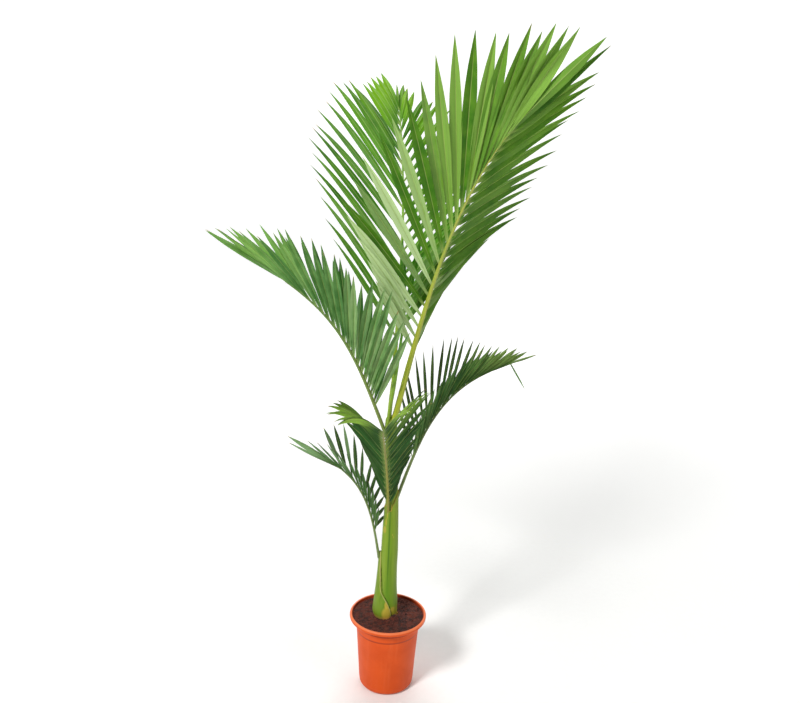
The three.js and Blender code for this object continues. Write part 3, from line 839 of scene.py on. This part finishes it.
@dataclass
class LowSheath:
    """Loose sheath of the lowest frond, wrapped round the left of the stem with a pale papery edge in front."""

    stem: Stem
    rows: tuple[tuple[float, ...], ...] = (
        (188, 5, 118, 78), (202, 10.5, 113, 80), (217, 12.5, 108, 78), (231, 11.5, 97, 74), (243, 10.6, 86, 70),
        (256, 9.6, 68, 66), (269, 8.8, 49, 60), (301, 7.2, 38, 46), (332, 6.3, 27, 32), (362, 6, 21, 22),
        (376, 5.6, 10, 12),
    )
    edge: float = 1.0
    clear: float = 1.0
    columns: int = 40
    step: float = 3.0

    def build(self) -> bpy.types.Object:
        """Makes the sheath as one closed form that thins out towards its edges."""
        skin = Skin()
        heights = np.arange(self.rows[0][0], self.rows[-1][0] + 0.1, self.step)
        table = eased(self.rows, heights)
        points, place = [], []
        for z, (thick, front, back) in zip(heights, table):
            radius, shift = (float(v[0]) for v in self.stem.at(z))
            ring, ring_place = [], []
            for k in range(self.columns + 1):
                s = k / self.columns
                phi = -back + s * (front + back)
                t = self.edge + (thick - self.edge) * max(0.0, math.cos((s - 0.5) * math.pi)) ** 0.7
                a = math.pi + math.radians(phi)
                flare = 1.2 * max(0.0, (s - 0.9) / 0.1) ** 2
                for off, where in ((t + flare, 0), (flare * 0.6, -1)):
                    reach = radius + self.clear + off
                    spot = [shift + reach * math.cos(a), reach * math.sin(a), z]
                    note = [math.cos(a), z * MM, (1 - s) * (front + back) * math.pi / 180 * radius * MM]
                    ring.insert(len(ring) if where == 0 else 0, spot)
                    ring_place.insert(len(ring_place) if where == 0 else 0, note)
            points += ring
            place += ring_place
        around = 2 * (self.columns + 1)
        faces = loop_faces(len(heights), around, caps=False)
        last = (len(heights) - 1) * around
        half = self.columns
        for j in range(half):
            a, b = half - j, half - j - 1
            c, d = half + 1 + j, half + 2 + j
            faces.append((a, c, d, b))
            faces.append((last + b, last + d, last + c, last + a))
        skin.add(np.array(points), faces, np.array(place))
        scars = ((-0.05, 0.215, 0.42, 0.022), (-0.05, 0.238, 0.25, 0.012))
        finish = Sheath("low_leaf_sheath", "c08a50", "5a8412", "647e24", "647628", dry="cfc67c", dry_reach=0.0032,
                        patch="dcb444", foot_height=(0.201, 0.208), scars=scars).make()
        return skin.become("low_left_sheath", finish, Slot.SHEATH, "frond_low_left")


# ---------------------------------------------------------------- fronds
@dataclass(frozen=True)
class BladeRow:
    """Blades on one side of a frond, in equal steps from the first to the last: millimetres, degrees, shares."""

    length: tuple[float, ...]
    angle: tuple[float, ...]
    lift: tuple[float, ...]
    droop: tuple[float, ...]
    width: tuple[float, ...]


@dataclass(frozen=True)
class TipPair:
    """The two blades that end a frond, on side one and on the other side: millimetres, degrees, a share."""

    length: tuple[float, float]
    angle: tuple[float, float]
    lift: tuple[float, float]
    droop: float
    width: float


@dataclass(frozen=True)
class Blade:
    """Sizes of one blade: length and width in millimetres, angle from the stalk and lift in degrees."""

    length: float
    angle: float
    lift: float
    droop: float
    width: float


@dataclass(frozen=True)
class LeafStalk:
    """Curve of a leaf stalk through four control points, and the frame that its blades stand in."""

    rib: tuple[tuple[float, float, float], ...]
    roll: float

    def points(self, t: np.ndarray) -> np.ndarray:
        """Points of the curve."""
        s = (1 - t)[:, None]
        t = t[:, None]
        a, b, c, d = (np.array(p, float) for p in self.rib)
        return s**3 * a + 3 * s * s * t * b + 3 * s * t * t * c + t**3 * d

    def frames(self, t: np.ndarray) -> tuple[np.ndarray, np.ndarray, np.ndarray]:
        """Directions along, out of and across the frond."""
        s = (1 - t)[:, None]
        t = t[:, None]
        a, b, c, d = (np.array(p, float) for p in self.rib)
        along = unit(s * s * (b - a) + 2 * s * t * (c - b) + t * t * (d - c))
        out = unit(UP - along * along[:, 2:3])
        turn = math.radians(self.roll)
        out = out * math.cos(turn) + np.cross(along, out) * math.sin(turn)
        return along, out, np.cross(along, out)

    def spot(self, share: float | np.ndarray) -> np.ndarray:
        """Curve parameter at a share of the stalk's length."""
        steps = np.linspace(0, 1, 401)
        run = np.r_[0, np.cumsum(np.linalg.norm(np.diff(self.points(steps), axis=0), axis=1))]
        return np.interp(np.atleast_1d(share) * run[-1], run, steps)


@dataclass
class Frond:
    """One feather leaf: a channelled stalk, two rows of folded blades and the pair that ends it."""

    name: str
    rib: tuple[tuple[float, float, float], ...]
    radii: tuple[float, ...]
    start: float
    count: int
    one: BladeRow
    other: BladeRow
    tip: TipPair | None
    blade: LeafBlade
    stalk: StalkSkin
    twist: tuple[float, float] = (18.0, 18.0)
    taper: tuple[float, float] = (1.0, 1.0)
    # scales each side's draw, which sets the blades' tone, young tint and painted sheen
    bright: tuple[float, float] = (1.0, 1.0)
    broken: tuple[float, float, float, float] | None = None
    roll: float = 0.0
    sink: float = 16.0
    seed: int = 1
    slot: Slot = Slot.LEAF
    wear: float = 0.3
    sweep: float = 0.02
    curl: float = 2.0
    stray: float = 1.0
    outline: tuple[tuple[float, float], ...] = (
        (0, 0.22), (0.05, 0.3), (0.15, 0.5), (0.3, 0.76), (0.45, 0.95), (0.57, 1), (0.7, 0.9), (0.82, 0.64),
        (0.92, 0.31), (0.97, 0.13), (1, 0.02),
    )
    fold: float = 0.42
    thick: float = 0.55
    rows: int = 26
    columns: tuple[float, ...] = (-1, -0.72, -0.42, -0.16, -0.06, 0, 0.06, 0.16, 0.42, 0.72, 1)
    reach: float = 0.985
    curve: LeafStalk = field(init=False)

    def __post_init__(self) -> None:
        """Sets up the stalk's curve."""
        self.curve = LeafStalk(self.rib, self.roll)

    def build(self) -> list[bpy.types.Object]:
        """Makes the stalk and the blades of the frond."""
        blades = Skin()
        self.fill_blades(blades)
        return [
            self.stalk_skin().become(self.name + "_stalk", self.stalk.make(), self.slot, self.name),
            blades.become(self.name + "_blades", self.blade.make(), self.slot, self.name),
        ]

    def stalk_skin(self) -> Skin:
        """The stalk: rounded below, flatter above, with a shallow channel that fades out towards the tip."""
        stations, around = 64, 18
        shares = np.r_[0.0, np.linspace(0, 1, stations)]
        t = self.curve.spot(shares)
        centre = self.curve.points(t)
        along, out, across = self.curve.frames(t)
        centre[0] -= along[0] * self.sink
        a = 2 * math.pi * (np.arange(around) + 0.5) / around
        points, place = [], []
        for k, share in enumerate(shares):
            r = float(at_share(self.radii, share)) * (0.35 if k == stations else 1.0)
            channel = 1 - 0.45 * (1 - share) * np.exp(-((np.cos(a) / 0.4) ** 2))
            rise = np.where(np.sin(a) > 0, 0.72 * channel, 1.0) * np.sin(a) * r
            points.append(centre[k] - across[k] * (np.cos(a) * r)[:, None] + out[k] * rise[:, None])
            place.append(np.column_stack([np.full(around, share), a / (2 * math.pi), np.zeros(around)]))
        skin = Skin()
        skin.add(np.vstack(points), loop_faces(stations + 1, around), np.vstack(place))
        return skin

    def fill_blades(self, skin: Skin) -> None:
        """Adds all the blades of the frond, with small differences from one to the next.

        Args:
            skin: The skin that gets them.
        """
        rng = np.random.default_rng(self.seed)
        for i in range(self.count):
            for side, row, place in ((Side.OTHER, self.other, i), (Side.ONE, self.one, i + 0.35)):
                u = place / (self.count - 0.65)
                blade = Blade(
                    float(at_share(row.length, u)) * rng.uniform(0.97, 1.02),
                    float(at_share(row.angle, u)) + self.stray * rng.uniform(-1.8, 1.8),
                    float(at_share(row.lift, u)) + self.stray * rng.uniform(-4, 4),
                    float(at_share(row.droop, u)) + rng.uniform(-0.012, 0.022),
                    float(at_share(row.width, u)) * rng.uniform(0.93, 1.05),
                )
                self.add_blade(skin, side, self.start + (self.reach - self.start) * u, u, blade, rng)
        for k, side in enumerate((Side.ONE, Side.OTHER) if self.tip else ()):
            blade = Blade(self.tip.length[k], self.tip.angle[k], self.tip.lift[k], self.tip.droop, self.tip.width)
            line = self.add_blade(skin, side, 1.0, 1.0, blade, rng)
            if self.broken and side is Side.OTHER:
                self.add_broken(skin, line)

    def add_broken(self, skin: Skin, line: np.ndarray) -> None:
        """Adds a narrow blade that has snapped and hangs straight down from the end of the frond.

        Args:
            skin: The skin of the frond's blades.
            line: Middle line of the blade that it hangs from.
        """
        share, length, slope, width = self.broken
        start = line[int(share * (len(line) - 1))]
        way = np.array([math.cos(math.radians(slope)), 0, -math.sin(math.radians(slope))])
        wide, top = np.array([way[2] * -0.8, -0.6, way[0] * 0.8]), np.array([0.0, 1.0, 0.0])
        x = np.linspace(0, 1, 14)
        turns = np.linspace(0, 2 * math.pi, 10, endpoint=False)
        points, place = [], []
        for step in x:
            half = width / 2 * (0.7 + 0.3 * math.sin(math.pi * step)) * (1 - 0.8 * step**6)
            bow = top * 2.5 * math.sin(math.pi * step)
            for b in turns:
                points.append(start + way * length * step + bow + wide * half * math.cos(b) + top * 0.4 * math.sin(b))
                place.append([step, math.cos(b), 0.8])
        faces = loop_faces(len(x), len(turns))
        skin.add(np.array(points), faces, np.array(place), [(0.6, 0.0, 1.0)] * len(faces))

    def add_blade(self, skin: Skin, side: Side, share: float, u: float, blade: Blade,
                  rng: np.random.Generator) -> np.ndarray:
        """Adds one blade, a thin closed form folded along its middle.

        Args:
            skin: The skin of the frond's blades.
            side: The side of the stalk it stands on.
            share: Where on the stalk its foot is.
            u: Its place from the first blade, 0, to the last, 1.
            blade: Its sizes.
            rng: Draws for its waves and its wear.

        Returns:
            The middle line of the blade.
        """
        sign = side.value
        t = self.curve.spot(share)
        along, out, across = (v[0] for v in self.curve.frames(t))
        angle, lift, length, droop = math.radians(blade.angle), math.radians(blade.lift), blade.length, blade.droop
        sweep = self.sweep * rng.uniform(0.4, 1.5)
        tone = rng.uniform() * self.bright[side is Side.OTHER]
        worn = self.wear * rng.uniform(0, 2)
        sideways = across * sign * math.cos(lift) + out * math.sin(lift)
        way = along * math.cos(angle) + sideways * math.sin(angle)
        start = self.curve.points(t)[0] + sideways * 0.3 * float(at_share(self.radii, share))
        half = blade.width / 2
        wave, wave_turn = rng.uniform(0.15, 0.55), rng.uniform(0, 6.28)
        lean = math.radians(self.twist[side is Side.OTHER] + self.stray * rng.uniform(-7, 7))
        v = np.array(self.columns)
        points, place, line = [], [], []
        for x in np.linspace(0, 1, self.rows) ** 0.9:
            bend = length * sweep * (x * x - 0.6 * x * x * x)
            centre = start + way * (length * x) - UP * (length * droop * x**self.curl) + along * bend
            line.append(centre)
            dip = self.curl * droop * x ** (self.curl - 1)
            run = unit(way - UP * dip + along * sweep * (2 * x - 1.8 * x * x))
            flat = unit(along - run * float(run @ along))
            face = np.cross(run, flat) * sign
            turn = lean * (1 + 0.15 * math.sin(3 * x + wave_turn))
            wide = flat * math.cos(turn) - face * math.sin(turn)
            top = unit(np.cross(run, wide) * sign)
            w = float(np.interp(x ** self.taper[side is Side.OTHER], *np.array(self.outline).T)) * half
            thick = self.thick / 2 + 0.9 * max(0.0, 1 - x / 0.06) ** 2
            crest = self.fold * w * ((1 - np.abs(v)) ** 1.15 - 0.35) + 0.45 * (1 - np.abs(v)) ** 8 * min(1.0, w)
            crest = crest + wave * np.sin(7 * x + wave_turn + 2 * v) * np.abs(v) * min(1, 4 * x) * w / half
            body = np.sqrt(np.clip(1 - v * v, 0, 1)) * thick
            upper = centre + wide * (w * v)[:, None] + top * (crest + body)[:, None]
            lower = centre + wide * (w * v)[:, None] + top * (crest - body)[:, None]
            points.append(np.vstack([upper, lower[-2:0:-1]]))
            across_v = np.r_[v, v[-2:0:-1]]
            place.append(np.column_stack([np.full(len(across_v), x), across_v, np.full(len(across_v), tone)]))
        around, tops = 2 * len(v) - 2, len(v) - 1
        faces = loop_faces(self.rows, around)
        upper_flags = [float(k % around < tops) for k in range((self.rows - 1) * around)] + [1.0, 1.0]
        skin.add(np.vstack(points), faces, np.vstack(place), [(u, flag, worn) for flag in upper_flags])
        return np.array(line)


WIDE_FOOT = (
    (0, 0.36), (0.05, 0.54), (0.15, 0.74), (0.3, 0.92), (0.45, 0.98), (0.57, 1), (0.7, 0.9), (0.82, 0.64),
    (0.92, 0.31), (0.97, 0.13), (1, 0.02),
)  # outline of the front frond's blades: share of the length, share of the width


def palm_fronds() -> list[Frond]:
    """The fronds of the palm, from the top down."""
    return [
        Frond(
            "frond_upper_right", ((-4, -5, 722), (50, -22, 960), (98, -69, 1237), (213, -190, 1413)),
            (8.2, 7.6, 6, 4.6, 3.4, 2.4, 1.6), 0.256, 21,
            BladeRow((209, 357, 377, 421, 346, 271), (40, 50, 35, 24, 12, 4), (13,), (0.05,), (21, 23, 26, 29, 28)),
            BladeRow((160, 228, 265, 284, 265, 244), (16, 32, 54, 59, 41, 13), (24, 14, 18, 23, 19, -6), (0.13,),
                     (21, 23, 25, 26, 26)),
            TipPair((271, 265), (-6, 11), (20, -8), 0.05, 24),
            LeafBlade("upper_right_blade", ("285408", "5a8a20"), ("347008", "72a226"), young="84bc34",
                      young_share=0.5, sheen="cae2a6", painted_sheen_share=0.85, sheen_from=0.2),
            # bright: painted shade darkens the other side, on the right, while side one gets lighter tones and more
            # painted sheen
            StalkSkin("upper_right_stalk", "b0b82c", "98a03a"), twist=(20, -7), taper=(1, 0.52), bright=(2.2, 0.42), roll=-17, seed=11, wear=0.2, stray=0.45,
        ),
        Frond(
            "frond_upper_back", ((-14, 7, 728), (6, -54, 1030), (14, 163, 1268), (-17, 366, 1486)),
            (5.6, 5.2, 4.4, 3.6, 2.8, 2.1, 1.5), 0.24, 20,
            BladeRow((201, 299, 332, 292, 193, 119), (33, 38, 38, 36, 27, 8), (15,), (0.05,), (25, 23, 20, 18, 18)),
            BladeRow((307, 397, 404, 388, 262, 150), (33, 38, 39, 31, 27, 24), (18,), (0.09,), (14, 15, 17, 20, 21)),
            TipPair((105, 150), (0, 16), (5, 8), 0.05, 20),
            LeafBlade("upper_back_blade", ("246408", "5a981c"), ("64982a", "90b84a"), young="78b00c", young_share=0.9, painted_sheen_share=0.2),
            StalkSkin("upper_back_stalk", "9ab42c", "6c9c2c"), twist=(-6, -14), taper=(1, 0.75), seed=12, wear=0.5, curl=2.6,
        ),
        Frond(
            "frond_left", ((-9, 0, 664), (-94, 7, 879), (-131, 9, 971), (-272, -15, 1070)),
            (5.6, 5.3, 4.8, 4.2, 3.5, 2.9, 2.1), 0.222, 18,
            BladeRow((162, 186, 227, 228, 220, 207), (45, 43, 31, 31, 25, 6), (44,), (0.05,), (18, 19, 18, 17, 16)),
            BladeRow((287, 313, 264, 247, 224, 222), (51, 48, 39, 35, 23, 5), (51, 52, 43, 45, 44, 39), (0.05,),
                     (19, 19, 18, 17, 16)),
            TipPair((215, 216), (0, 5), (28, 20), 0.05, 17),
            LeafBlade("left_blade", ("164e1c", "5c9e48"), ("30702c", "86b668"), young="90c458", young_share=0.6, painted_sheen_share=0.5),
            StalkSkin("left_stalk", "7a8a40", "607c38"), twist=(22, 36), roll=-6, seed=13, wear=0.3,
        ),
        Frond(
            "frond_right", ((6, 0, 503), (60, 11, 671), (98, 21, 794), (239, 41, 853)),
            (5, 4.7, 4.1, 3.4, 2.7, 2, 1.4), 0.304, 18,
            BladeRow((120, 150, 160, 150, 125, 105), (22, 25, 26, 24, 20, 14), (48,), (0.03,), (11, 12, 12, 12, 12)),
            BladeRow((145, 205, 208, 164, 111, 98), (41, 40, 31, 29, 26, 18), (52,), (0.03,), (8, 8, 8, 9, 10)),
            TipPair((116, 122), (7, 2), (36, 33), 0.08, 12),
            LeafBlade("right_blade", ("0a3210", "225a1e"), ("123e12", "3e762c"), young="90ae58", young_share=0.6, painted_sheen_share=0.15,
                      rib_width=0.18),
            StalkSkin("right_stalk", "6c7c40", "506036"), twist=(36, 22), seed=14, wear=0.5,
            broken=(0.38, 76, 58, 5),
        ),
        Frond(
            "frond_front", ((-8, -10, 476), (-10, -53, 618), (-23, -156, 726), (-22, -273, 790)),
            (3.4, 3.3, 3.1, 2.8, 2.3, 1.8, 1.3), 0.115, 18,
            BladeRow((107, 170, 189, 195, 191, 156), (20, 24, 29, 39, 49, 41), (22, 20, 22, 38, 30, 28),
                     (0.03, 0.05, 0.1, 0.2, 0.35), (15, 16, 15, 14, 12)),
            BladeRow((61, 136, 174, 201, 190, 119), (21, 29, 34, 46, 47, 33), (21, 21, 29, 42, 50, 44),
                     (0.03, 0.05, 0.08, 0.12, 0.15), (15, 16, 14, 10, 9)),
            TipPair((177, 152), (31, 31), (17, 45), 0.24, 13),
            LeafBlade("front_blade", ("0a360c", "1f5a1a"), ("0e3e10", "2e6826"), young="a2d048", young_share=1.0, painted_sheen_share=0.1, rib_width=0.2),
            StalkSkin("front_stalk", "8a8828", "84822c", "6c7424"), twist=(-30, -12), taper=(1, 0.85), bright=(1.7, 1), outline=WIDE_FOOT, seed=15, wear=0.4, curl=3.0,
        ),
        Frond(
            "frond_low_left", ((-28, -3, 361), (-45, -13, 477), (-64, -11, 551), (-131, 16, 589)),
            (4.2, 3.9, 3.6, 3.2, 2.8, 2.4, 2), 0.29, 11,
            BladeRow((40, 58, 85, 111, 151, 127), (60, 54, 42, 34, 34, 27), (57, 55, 54, 54, 54, 45), (0.03,),
                     (8, 9, 9, 10, 12)),
            BladeRow((80, 98, 115, 125, 125, 125), (24, 25, 26, 24, 22, 12), (50,), (0.03,), (9, 9, 10, 10, 12)),
            TipPair((166, 150), (-4, 12), (37, -6), 0.03, 15),
            LeafBlade("low_left_blade", ("163a14", "345c2c"), ("1e4a1a", "44743a"), young="8cb27c", young_share=0.7, painted_sheen_share=0.1),
            StalkSkin("low_left_stalk", "64783a", "5c7038"), twist=(24, 30), roll=-8, sink=4, seed=16, wear=0.9,
        ),
        Frond(
            "spear_leaf", ((-17, -10, 722), (-10, -32, 800), (9, -44, 915), (17, -38, 1024)),
            (3.4, 5, 6, 5, 3.8, 2.8, 2), 0.95, 1,
            BladeRow((174,), (6,), (5,), (0,), (15,)), BladeRow((168,), (8.5,), (5,), (0,), (15,)), None,
            LeafBlade("spear_blade", ("2c7408", "4f9a14"), ("3a800c", "5ea024")),
            StalkSkin("spear_stalk", "8cac2c", "5c9a18"), twist=(12, 12), roll=55, seed=17, slot=Slot.YOUNG, wear=0.0, stray=0,
        ),
    ]


# ---------------------------------------------------------------- studio
@dataclass
class Studio:
    """Pale floor that curves up behind, soft lamps and the camera."""

    camera_place: tuple[float, float, float] = (0.0077, -1.883, 1.351)
    pitch: float = 13.37
    tilt: float = 2.0
    lens: float = 36.0
    film: float = 36.0

    def camera(self) -> None:
        """Sets up the camera, looking level ahead and a little down, tilted as the photograph is."""
        dip, lean = math.radians(self.pitch), math.radians(self.tilt)
        ahead = Vector((0, math.cos(dip), -math.sin(dip)))
        right = Vector((1, 0, 0))
        up = right.cross(ahead)
        x = right * math.cos(lean) + up * math.sin(lean)
        y = up * math.cos(lean) - right * math.sin(lean)
        data = bpy.data.cameras.new("camera")
        data.lens, data.sensor_width, data.sensor_fit = self.lens, self.film, "HORIZONTAL"
        holder = bpy.data.objects.new("camera", data)
        holder.matrix_world = Matrix((x, y, -ahead)).transposed().to_4x4()
        holder.location = self.camera_place
        bpy.context.scene.collection.objects.link(holder)
        bpy.context.scene.camera = holder

    def lamp(self, name: str, place: tuple[float, float, float], size: float, power: float) -> None:
        """Hangs one soft square lamp aimed at the middle of the plant.

        Args:
            name: Its name.
            place: Where it hangs, in metres.
            size: Length of its side, in metres.
            power: Its power in watts.
        """
        data = bpy.data.lights.new(name, "AREA")
        data.energy, data.size = power, size
        lamp = bpy.data.objects.new(name, data)
        lamp.location = place
        lamp.rotation_euler = (Vector((0, 0, 0.8)) - Vector(place)).to_track_quat("-Z", "Y").to_euler()
        bpy.context.scene.collection.objects.link(lamp)

    def backdrop(self) -> None:
        """Lays the floor, which curves up into a wall far behind the plant."""
        bend = [(5 + 2 * math.sin(a), 2 - 2 * math.cos(a)) for a in np.linspace(0, math.pi / 2, 16)]
        profile = [(-7.0, 0.0), (0.0, 0.0)] + bend + [(7.0, 9.0)]
        points = [(x, y, z) for y, z in profile for x in (-12.0, 12.0)]
        faces = [(2 * i, 2 * i + 1, 2 * i + 3, 2 * i + 2) for i in range(len(profile) - 1)]
        mesh = bpy.data.meshes.new("backdrop")
        mesh.from_pydata(points, [], faces)
        mesh.shade_smooth()
        recipe = Recipe("backdrop_paper")
        speckle = recipe.mix(recipe.grain(recipe.where(), 60, 3), linear("f4f4f2"), linear("fafaf8"))
        away = recipe.node("VectorMath", {"operation": "LENGTH"}, {0: recipe.where()}).outputs["Value"]
        glow = recipe.sum("MULTIPLY", recipe.rise(away, 0.25, 4.0), 0.62)
        mesh.materials.append(recipe.finish({
            "Base Color": speckle, "Roughness": 0.9, "Emission Color": linear("ffffff"), "Emission Strength": glow,
        }))
        sheet = bpy.data.objects.new("backdrop", mesh)
        bpy.context.scene.collection.objects.link(sheet)

    def build(self) -> None:
        """Sets up everything round the plant."""
        self.camera()
        self.backdrop()
        self.lamp("window_left", (-1.7, -2.3, 3.0), 0.8, 122)
        self.lamp("window_right", (2.9, -1.6, 2.0), 2.2, 30)
        self.lamp("sky_light", (0.0, 1.0, 3.4), 2.0, 46)
        world = bpy.data.worlds.new("room")
        world.use_nodes = True
        world.node_tree.nodes["Background"].inputs["Color"].default_value = (1.0, 1.0, 1.0, 1.0)
        world.node_tree.nodes["Background"].inputs["Strength"].default_value = 0.1
        bpy.context.scene.world = world
        bpy.context.scene.view_settings.view_transform = "Standard"


def main() -> None:
    """Builds the potted palm piece by piece, then its studio."""
    logging.basicConfig(level=logging.INFO, format="%(message)s")
    Studio().build()
    Pot().build()
    SoilBed().build()
    stem = Stem()
    stem.build()
    LowSheath(stem).build()
    for frond in palm_fronds():
        frond.build()


if __name__ == "__main__":
    main()
